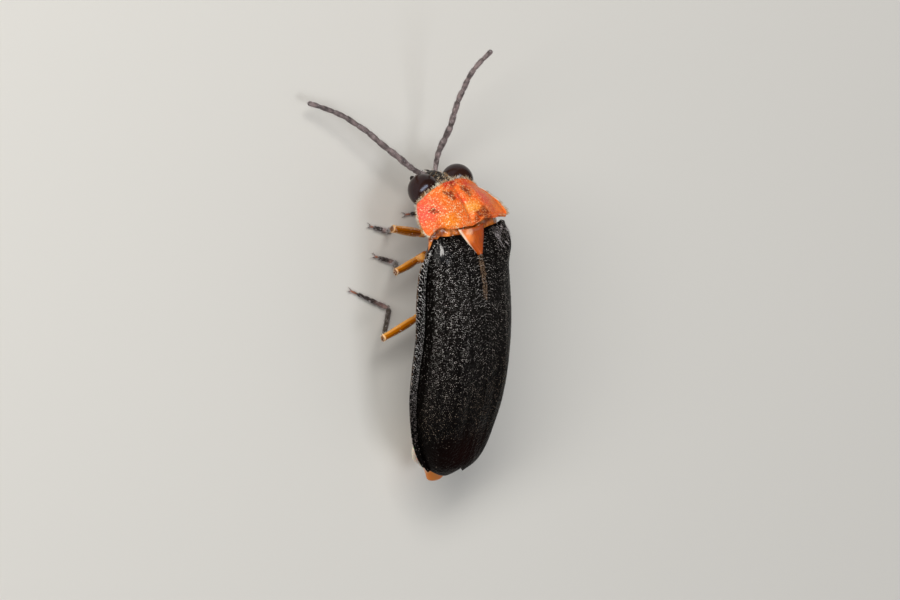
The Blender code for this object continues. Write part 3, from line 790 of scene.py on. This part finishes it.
foot_finish, shader = start_finish("foot_rose_brown", (0.12, 0.08, 0.07), 0.45)
foot_patches = between(foot_finish, grain(foot_finish, 0.3, 2), 0.35, 0.65)
foot_mix = blend(foot_finish, foot_patches, (0.12, 0.075, 0.07), (0.36, 0.24, 0.22))
unwrap = node(foot_finish, "UVMap", uv_map="unwrap")
foot_along = node(foot_finish, "SeparateXYZ", {"Vector": unwrap.outputs["UV"]}).outputs["Y"]
dark_middle = between(foot_finish, foot_along, 0.3, 0.42)
foot_mix = blend(foot_finish, dark_middle, foot_mix, (0.03, 0.022, 0.02))
foot_tip = between(foot_finish, foot_along, 0.82, 0.9)
foot_mix = blend(foot_finish, foot_tip, foot_mix, (0.34, 0.14, 0.09))
join(foot_finish, foot_mix, shader.inputs["Base Color"])
bumps(foot_finish, shader, grain(foot_finish, 0.04, 3), 0.012, 0.8)


def limb(start, end, wide, high, bow=0.0, rows=26, columns=20, ends=0.12, keel=0.0):
    """One length of a leg from start to end, bowed a little upwards, with rounded ends."""
    start, end = Vector(start), Vector(end)
    middle = (start + end) / 2 + Vector((0, 0, bow))
    line = smooth_line([start, middle, end])
    return tube(rows, columns, line, lambda u: (wide(u) * round_end(u, ends), high(u) * round_end(u, ends)),
                keel=keel)


def short_map(bm, share=0.9):
    """Shrink a part's unwrap along its length, so that the finish gives it no knee."""
    layer = bm.loops.layers.uv["unwrap"]
    for face in bm.faces:
        for loop in face.loops:
            loop[layer].uv.y *= share
    return bm


def thigh_parts(joints):
    """Hip, ring and thigh."""
    root, hip, knee = (Vector(joint) for joint in joints[:3])
    ring = hip.lerp(knee, 0.1)
    return [short_map(limb(root, hip, lambda u: 0.22 - 0.07 * u, lambda u: 0.19 - 0.06 * u)),
            short_map(limb(hip - (knee - hip).normalized() * 0.1, ring, lambda u: 0.12, lambda u: 0.115, rows=14)),
            limb(ring, knee + (knee - hip).normalized() * 0.05,
                 lambda u: 0.085 + 0.03 * math.sin(math.pi * u**0.6) + 0.02 * max(u - 0.85, 0) / 0.15,
                 lambda u: 0.085 + 0.025 * math.sin(math.pi * u**0.6), 0.02, 52, 40, 0.045, 0.22)]


def shin_parts(joints):
    """Shin with two spurs at its end."""
    knee, ankle, toe = (Vector(joint) for joint in joints[2:])
    down = (ankle - knee).normalized()
    onward = (toe - ankle).normalized()
    parts = [limb(knee - down * 0.03, ankle, lambda u: 0.07 + 0.03 * u, lambda u: 0.065 + 0.02 * u, 0.02, 34, 22,
                  keel=0.12)]
    for sway in (0.06, -0.06):
        spur = ankle + onward.cross(Vector((0, 0, 1))) * sway
        parts.append(limb(spur, spur + onward * 0.12 + down * 0.03, lambda u: 0.014 * (1.1 - u),
                          lambda u: 0.014 * (1.1 - u), rows=8, columns=8))
    return parts


def foot_parts(joints):
    """The five joints of the foot and two small hooked claws at its toe."""
    ankle, toe = Vector(joints[3]), Vector(joints[4])
    low = ankle.lerp(toe, 0.16)
    foot = [ankle, Vector((low.x, low.y, 0.09)), Vector((*ankle.lerp(toe, 0.6).xy, 0.08)), toe]
    return [bead_tube(foot, lambda u: 0.062 + 0.012 * math.sin(u * 5) - 0.018 * (u > 0.8), FOOT_ENDS, 16, 9,
                      0.58)] + claw_parts(joints)


def claw_parts(joints):
    """Two small hooked claws at the toe."""
    ankle, toe = Vector(joints[3]), Vector(joints[4])
    onward = Vector((*(toe - ankle).xy, 0)).normalized()
    aside = onward.cross(Vector((0, 0, 1)))
    claws = []
    for side in (1, -1):
        points = [toe, toe + onward * 0.07 + aside * side * 0.05 + Vector((0, 0, 0.02)),
                  toe + onward * 0.14 + aside * side * 0.08 - Vector((0, 0, 0.03))]
        claws.append(tube(9, 8, smooth_line(points), lambda u: (0.018 * (1.05 - u), 0.018 * (1.05 - u))))
    return claws


# %% Six legs
thighs, shins = [], []
for name, joints in LEG_JOINTS.items():
    thighs.append(settle("thigh_" + name, gather(thigh_parts(joints)), amber_finish, ["leg_" + name]))
    shins.append(settle("shin_" + name, gather(shin_parts(joints)), shin_finish))
    shins.append(settle("foot_" + name, gather(foot_parts(joints)), foot_finish))

# %% [markdown]
# ## Body
# Under the wing cases lie the chest, five dark belly rings and the pale lantern of the last
# two rings. Each ring is a little wider at its hind edge and tucks over the next one.

# %% Chest, belly and lantern


def ringed(profile_wide, profile_low, profile_high, start, end, rings, rows_each=7, columns=64):
    """A flat ringed tube from start to end along the body."""
    def line(u):
        return Vector((0, start + (end - start) * u, (profile(profile_low, u) + profile(profile_high, u)) / 2))

    def widths(u):
        share = (u * rings) % 1 if u < 1 else 1
        swell = 0.97 + 0.03 * min(share / 0.8, 1) ** 2 if rings > 1 else 1.0
        tall = (profile(profile_high, u) - profile(profile_low, u)) / 2
        closing = round_end(u, 0.06)
        return profile(profile_wide, u) * swell * closing, tall * swell * closing

    return tube(rows_each * rings, columns, line, widths)


body_finish, shader = start_finish("body_dark_brown", (0.05, 0.03, 0.02), 0.36)
body_mix = blend(body_finish, grain(body_finish, 0.4, 4), (0.02, 0.012, 0.009), (0.085, 0.045, 0.028))
join(body_finish, body_mix, shader.inputs["Base Color"])
bumps(body_finish, shader, grain(body_finish, 0.06, 3), 0.015, 0.8)

neck_finish, shader = start_finish("neck_orange_brown", (0.45, 0.13, 0.02), 0.4)
neck_mix = blend(neck_finish, grain(neck_finish, 0.3, 3), (0.28, 0.06, 0.01), (0.6, 0.2, 0.035))
join(neck_finish, neck_mix, shader.inputs["Base Color"])
bumps(neck_finish, shader, grain(neck_finish, 0.07, 3), 0.015, 0.7)

lantern_finish, shader = start_finish("lantern_ivory", (0.8, 0.72, 0.5), 0.42, Subsurface_Weight=0.3)
shader.inputs["Subsurface Scale"].default_value = 0.0003
lantern_mix = blend(lantern_finish, grain(lantern_finish, 0.3, 4), (0.5, 0.42, 0.33), (0.78, 0.72, 0.62))
tail_spot = near(lantern_finish, 0.1, 8.1, 1.1, 0.35, 0.75)
lantern_mix = blend(lantern_finish, tail_spot, lantern_mix, (0.62, 0.2, 0.03))
join(lantern_finish, lantern_mix, shader.inputs["Base Color"])
bumps(lantern_finish, shader, grain(lantern_finish, 0.1, 3), 0.015, 0.6)

neck = ringed([(0, 0.55), (0.3, 0.78), (0.8, 0.76), (1, 0.6)], [(0, 1.5), (0.4, 1.4), (1, 1.5)],
              [(0, 2.05), (0.5, 2.35), (1, 2.5)], -0.85, 0.3, 1, 18)
settle("neck_body", neck, neck_finish)
chest = ringed([(0, 0.6), (0.2, 0.95), (0.5, 1.05), (0.85, 1.02), (1, 0.9)], [(0, 1.55), (0.3, 1.36), (1, 1.36)],
               [(0, 2.3), (0.3, 2.42), (1, 2.36)], 0.05, 3.45, 1, 30)
chest_piece = settle("chest", chest, body_finish, ["thorax"])
belly = ringed([(0, 0.92), (0.3, 1.1), (1, 1.2)], [(0, 1.34), (0.5, 1.14), (1, 1.03)],
               [(0, 2.1), (0.5, 1.76), (1, 1.6)], 3.3, 6.72, 5, 9)
belly_piece = settle("belly", belly, body_finish, ["abdomen"])
lantern = ringed([(0, 1.06), (0.3, 1.12), (0.5, 0.92), (0.7, 0.54), (1, 0.26)], [(0, 1.02), (1, 0.88)],
                 [(0, 1.6), (0.5, 1.42), (1, 1.14)], 6.62, 8.22, 2, 16)
lantern_piece = settle("lantern", lantern, lantern_finish, ["light_organ"])

# %% [markdown]
# ## Hairs
# Short hairs lie back over the whole insect. The export drops particle hair, so each hair is a
# thin bent spike of real mesh: three-sided, with a knee half way. One spike comes from bmesh,
# and numpy then copies it to thousands of roots at once. Every hair also gets a patch of the
# OFBake map at its root's place on the skin's own unwrap.

# %% One hair
bm = bmesh.new()
bmesh.ops.create_cone(bm, cap_ends=True, segments=3, radius1=1, radius2=0.6, depth=1)
bmesh.ops.translate(bm, vec=(0, 0, 0.5), verts=bm.verts)
top = max(bm.faces, key=lambda face: face.calc_center_median().z)
tip_ring = bmesh.ops.extrude_face_region(bm, geom=[top])
tip_verts = [item for item in tip_ring["geom"] if isinstance(item, bmesh.types.BMVert)]
bmesh.ops.delete(bm, geom=[top], context="FACES_ONLY")
bmesh.ops.translate(bm, vec=(0, 0, 1), verts=tip_verts)
bmesh.ops.pointmerge(bm, verts=tip_verts, merge_co=(0, 0, 2))
bmesh.ops.triangulate(bm, faces=bm.faces)
bmesh.ops.recalc_face_normals(bm, faces=bm.faces)
SPIKE = np.array([vert.co for vert in bm.verts])
SPIKE_FACES = np.array([[vert.index for vert in face.verts] for face in bm.faces])
bm.free()
print("one hair has", len(SPIKE), "points and", len(SPIKE_FACES), "faces")

# %% Hairs on a skin


def even_spread(unwrap, cells):
    """For each cell of the unwrap, the place nearest its middle. Every second row is shifted."""
    spot = unwrap * np.array(cells)
    row = np.floor(spot[:, 1])
    spot[:, 0] += 0.5 * (row % 2)
    cell = row * 1000 + np.floor(spot[:, 0])
    off_middle = np.linalg.norm(spot % 1 - 0.5, axis=1)
    order = np.lexsort((off_middle, cell))
    return order[np.unique(cell[order], return_index=True)[1]]


def skin_samples(skin, count, random, keep, cells):
    """Random places on a skin, or evenly spread ones: their points, normals and unwrap places."""
    mesh = skin.data
    mesh.calc_loop_triangles()
    corners = np.empty(len(mesh.loop_triangles) * 3, dtype=np.int64)
    loops = np.empty(len(mesh.loop_triangles) * 3, dtype=np.int64)
    mesh.loop_triangles.foreach_get("vertices", corners)
    mesh.loop_triangles.foreach_get("loops", loops)
    points = np.empty(len(mesh.vertices) * 3)
    normals = np.empty(len(mesh.vertices) * 3)
    mesh.vertices.foreach_get("co", points)
    mesh.vertices.foreach_get("normal", normals)
    unwrap = np.empty(len(mesh.loops) * 2)
    mesh.uv_layers["unwrap"].data.foreach_get("uv", unwrap)
    corners, loops = corners.reshape(-1, 3), loops.reshape(-1, 3)
    points, normals, unwrap = points.reshape(-1, 3), normals.reshape(-1, 3), unwrap.reshape(-1, 2)
    a, b, c = points[corners[:, 0]], points[corners[:, 1]], points[corners[:, 2]]
    area = np.linalg.norm(np.cross(b - a, c - a), axis=1)
    middle = ((a + b + c) / 3 - np.array(INTO_PLACE.translation)) / MM
    weight = area if cells else area * keep(middle, unwrap[loops].mean(axis=1))
    chosen = random.choice(len(corners), size=count, p=weight / weight.sum())
    r, q = np.sqrt(random.random(count)), random.random(count)
    shares = np.stack([1 - r, r * (1 - q), r * q], axis=1)[:, :, None]
    root = (points[corners[chosen]] * shares).sum(axis=1)
    normal = (normals[corners[chosen]] * shares).sum(axis=1)
    normal /= np.linalg.norm(normal, axis=1)[:, None]
    spot = (unwrap[loops[chosen]] * shares).sum(axis=1)
    if cells:
        picked = even_spread(spot, cells)
        kept = keep((root[picked] - np.array(INTO_PLACE.translation)) / MM, spot[picked])
        picked = picked[random.random(len(picked)) < kept]
        root, normal, spot = root[picked], normal[picked], spot[picked]
    return root, normal, spot


def everywhere(places, unwrap):
    return np.ones(len(places))


def grow_hairs(name, skins, count, length, width, lie, finish, seed, rise=25, spray=18, keep=everywhere,
               cells=None):
    """Hairs of a length and width in millimetres that lie along a direction on the skins."""
    random = np.random.default_rng(seed)
    found = [skin_samples(skin, count, random, keep, cells) for skin in skins]
    root, normal, unwrap = (np.concatenate([part[k] for part in found]) for k in range(3))
    many = len(root)
    wanted = lie(root) if callable(lie) else np.broadcast_to(np.array(lie, dtype=float), (many, 3))
    wanted = wanted + random.normal(0, math.tan(math.radians(spray)), (many, 3))
    flat = wanted - (wanted * normal).sum(axis=1)[:, None] * normal
    flat /= np.linalg.norm(flat, axis=1)[:, None] + 1e-9
    slope = np.radians(rise + random.normal(0, rise * 0.3, many))[:, None]
    first = flat * np.cos(slope * 1.3) + normal * np.sin(slope * 1.3)
    second = flat * np.cos(slope * 0.5) + normal * np.sin(slope * 0.5)
    aside = np.cross(flat, normal)
    size = (length * MM * (0.75 + 0.5 * random.random(many)))[:, None]
    knee = root - normal * 0.01 * MM + first * size / 2
    tip = knee + second * size / 2
    thick = width * MM / 2 * (0.8 + 0.4 * random.random(many))[:, None]
    lift = np.cross(aside, first)
    stages = np.stack([root - normal * 0.01 * MM, knee, tip])
    points = np.empty((many, len(SPIKE), 3))
    for k, (across, over, stage) in enumerate(SPIKE):
        points[:, k] = stages[int(round(stage))] + aside * thick * across - lift * thick * over * 0.6
    points[:, :, 2] = np.maximum(points[:, :, 2], 0.004 * MM)
    faces = (SPIKE_FACES[None] + (np.arange(many) * len(SPIKE))[:, None, None]).reshape(-1, 3)
    mesh = bpy.data.meshes.new(name)
    mesh.from_pydata(points.reshape(-1, 3).tolist(), [], faces.tolist())
    patch = np.stack([SPIKE[:, 0] * 0.0015, (SPIKE[:, 2] - 1) * 0.0015], axis=1)
    spots = (unwrap[:, None] + patch[None])[:, SPIKE_FACES].reshape(-1)
    mesh.uv_layers.new(name="OFBake").data.foreach_set("uv", spots)
    mesh.materials.append(finish)
    mesh.shade_smooth()
    coat = bpy.data.objects.new(name, mesh)
    bpy.context.scene.collection.objects.link(coat)
    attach(coat, "root")
    print(name, many, "hairs,", len(mesh.polygons), "faces")
    return coat


# %% [markdown]
# There are four kinds of hair: silver ones on the wing cases, tan along the seam, golden ones
# on shield, head and thighs, and grey-brown ones elsewhere. Few of them are bright. On the
# wing cases and the shield they are short and sit one to a grain, in rows, so they read as
# points of light: there the roots are the places nearest the middles of a grid's cells. The
# bright hairs on the wing cases are painted glints, and the silver and rim hairs are painted
# lighter towards the lit front left and darker in the shade behind and on the right.

# %% Hair finishes
silver, shader = start_finish("hair_silver_painted_glints", (0.4, 0.38, 0.36), 0.24, Specular_IOR_Level=1.0)
# Painted glints: a few hairs are painted bright. Painted light and shade: the hairs are painted brighter near the lit
# front left of the wing cases and darker further off.
glint = between(silver, grain(silver, 0.05, 1), 0.34, 0.6)
glint = node(silver, "Math", {0: glint, 1: 2.2}, operation="POWER").outputs[0]
sunny = near(silver, 3.2, 1.0, 2.7, 1.8, 5.2)
shady_mix = blend(silver, glint, (0.006, 0.005, 0.004), (0.2, 0.15, 0.11))
silver_painted_light = blend(silver, glint, (0.05, 0.04, 0.036), (1.0, 0.97, 0.95))
silver_painted_light = blend(silver, sunny, shady_mix, silver_painted_light)
join(silver, silver_painted_light, shader.inputs["Base Color"])
tan_hair, shader = start_finish("hair_tan", (0.5, 0.3, 0.15), 0.35)
tan_mix = blend(tan_hair, grain(tan_hair, 0.1, 1), (0.16, 0.08, 0.045), (0.55, 0.36, 0.22))
join(tan_hair, tan_mix, shader.inputs["Base Color"])
golden, shader = start_finish("hair_golden", (0.8, 0.5, 0.22), 0.26)
golden_mix = blend(golden, between(golden, grain(golden, 0.08, 1), 0.4, 0.62), (0.62, 0.34, 0.14), (1.0, 0.93, 0.75))
join(golden, golden_mix, shader.inputs["Base Color"])
grey_hair, shader = start_finish("hair_grey_brown", (0.3, 0.25, 0.22), 0.35)
grey_mix = blend(grey_hair, between(grey_hair, grain(grey_hair, 0.08, 1), 0.4, 0.62), (0.12, 0.1, 0.1),
                 (0.7, 0.64, 0.66))
join(grey_hair, grey_mix, shader.inputs["Base Color"])
rim_hair, shader = start_finish("hair_rim_white_painted_glints", (0.8, 0.78, 0.76), 0.3)
# Painted glints and painted light: a few rim hairs are painted bright, and all are painted brighter near the lit
# front of the rim.
rim_glint = between(rim_hair, grain(rim_hair, 0.05, 1), 0.36, 0.62)
front_sun = near(rim_hair, 1.7, 1.6, 2.2, 0.8, 4.5)
rim_painted_light = blend(rim_hair, front_sun, (0.16, 0.13, 0.12), (1.0, 0.98, 0.98))
rim_painted_light = blend(rim_hair, rim_glint, (0.03, 0.025, 0.025), rim_painted_light)
join(rim_hair, rim_painted_light, shader.inputs["Base Color"])
print("five hair finishes")

# %% Hairs on the wing cases
CASE_CELLS = (52, 140)
RIM_CELLS = (40, 120)
BAND_PLACES = (0.16, 0.34, 0.54)
GROOVE_PLACE = 0.77


def case_cover(places, unwrap):
    """Fewer hairs on the shoulder's bare gloss, in the groove by the rim, at the base and the tip."""
    shoulder = np.exp(-((np.abs(places[:, 0]) - 1.34) / 0.12) ** 2 - ((places[:, 1] - 0.42) / 0.3) ** 2)
    groove = 0.75 * np.exp(-(((unwrap[:, 0] - GROOVE_PLACE) / 0.045) ** 4))
    base = np.exp(-(unwrap[:, 1] / 0.012) ** 2) * (unwrap[:, 0] < 0.75)
    rear = np.clip(1.0 - (places[:, 1] - 5.6) / 1.2, 0.05, 1)
    bands = 1 - 0.5 * sum(np.exp(-(((unwrap[:, 0] - place) / 0.022) ** 2)) for place in BAND_PLACES)
    return (1 - 0.95 * shoulder) * (1 - groove) * (1 - base) * rear * bands * (unwrap[:, 0] < 0.82)


def rim_cover(places, unwrap):
    """The flat rim only, up to the last millimetre."""
    return (unwrap[:, 0] > 0.845) * np.clip((7.6 - places[:, 1]) / 2.4, 0, 1)


def seam_cover(places, unwrap):
    """Tan hairs in a thin line along the front of the seam, and along the outer rim."""
    seam = np.exp(-((unwrap[:, 0] / 0.012) ** 2)) * (unwrap[:, 1] < 0.2)
    return seam + 0.5 * np.exp(-(((1 - unwrap[:, 0]) / 0.008) ** 2)) * (unwrap[:, 1] < 0.62)


def base_cover(places, unwrap):
    """Silky hairs on the root and the outer shoulder of a wing case."""
    return np.exp(-((places[:, 1] - 0.1) / 0.3) ** 2) * (np.abs(places[:, 0]) > 0.75)


for number, side_name in enumerate(("left", "right")):
    case = cases[side_name]
    grow_hairs("case_hairs_" + side_name, [case], 40000, 0.035, 0.036, (0, 1, -0.05), silver,
               10 + number, rise=34, spray=12, keep=case_cover, cells=CASE_CELLS)
    grow_hairs("rim_hairs_" + side_name, [case], 40000, 0.045, 0.042, (0, 1, 0), rim_hair,
               15 + number, rise=40, spray=12, keep=rim_cover, cells=RIM_CELLS)
    grow_hairs("case_tan_hairs_" + side_name, [case], 210, 0.09, 0.01, (0, 1, 0), tan_hair,
               20 + number, rise=24, spray=12, keep=seam_cover)
grow_hairs("case_base_hairs", [cases["right"]], 240, 0.16, 0.01, (-0.3, 1, 0), grey_hair, 25,
           rise=16, spray=16, keep=base_cover)

# %% Hairs on the shield
SHIELD_CELLS = (64, 28)


def front_edge(places, unwrap):
    """Hairs along the front margin, thickest at its left and right thirds."""
    return np.exp(-(((1 - unwrap[:, 1]) / 0.02) ** 2)) * (0.35 + np.abs(unwrap[:, 0] - 0.5) * 1.6)


def side_edges(places, unwrap):
    """Hairs along the two sides and on the hind corners."""
    side = np.minimum(unwrap[:, 0], 1 - unwrap[:, 0])
    return np.exp(-((side / 0.01) ** 2)) + 0.3 * np.exp(-((side / 0.08) ** 2) - (unwrap[:, 1] / 0.05) ** 2)


def shield_grains(places, unwrap):
    """Most glints lie to the left of the middle and behind it."""
    return 0.12 + 0.5 * np.exp(-((places[:, 0] - 0.75) / 0.55) ** 2 - ((places[:, 1] + 0.6) / 0.35) ** 2)


def outwards(root):
    """Away from the middle of the shield, and a little back."""
    away = root - np.array(at(0, -0.7, 2.4))
    away[:, 1] += 0.35 * np.abs(away[:, 0])
    return away / np.linalg.norm(away, axis=1)[:, None]


grow_hairs("shield_hairs", [shield], 9000, 0.036, 0.014, (0, 1, 0), golden, 31, rise=26,
           keep=shield_grains, cells=SHIELD_CELLS)
grow_hairs("shield_front_fringe", [shield], 360, 0.15, 0.012, (0.3, -1, -0.4), golden, 32, rise=4,
           spray=30, keep=front_edge)
grow_hairs("shield_side_fringe", [shield], 460, 0.12, 0.012, outwards, golden, 33, rise=8,
           keep=side_edges)

# %% Hairs on head, feelers, legs and body


def crown(places, unwrap):
    """Mostly on the top of the head, before the shield."""
    return 0.15 + np.exp(-((places[:, 1] + 1.3) / 0.22) ** 2) * (places[:, 2] > 1.3)


def keel_sides(places, unwrap):
    """Along the two keels of a limb and at the knee."""
    return 0.12 + np.abs(np.cos(unwrap[:, 0] * 2 * math.pi)) ** 12 + (unwrap[:, 1] > 0.93)


grow_hairs("skull_hairs", [skull], 500, 0.12, 0.016, (0, -0.8, 0.6), golden, 41, rise=36, spray=24,
           keep=crown)
grow_hairs("feeler_hairs", feelers, 2600, 0.06, 0.01, (0.1, -1, 0.1), grey_hair, 42, rise=30)
grow_hairs("thigh_hairs", thighs, 260, 0.09, 0.011, (0, 0.3, -0.4), golden, 43, rise=26, keep=keel_sides)
grow_hairs("shin_hairs", shins, 300, 0.08, 0.01, (0, 0.2, -1), grey_hair, 44, rise=35)
grow_hairs("plate_hairs", [scutellum, strip], 340, 0.11, 0.013, (0, 1, 0), golden, 45, rise=26)
grow_hairs("belly_hairs", [chest_piece, belly_piece], 1500, 0.1, 0.012, (0, 1, 0), grey_hair, 46)
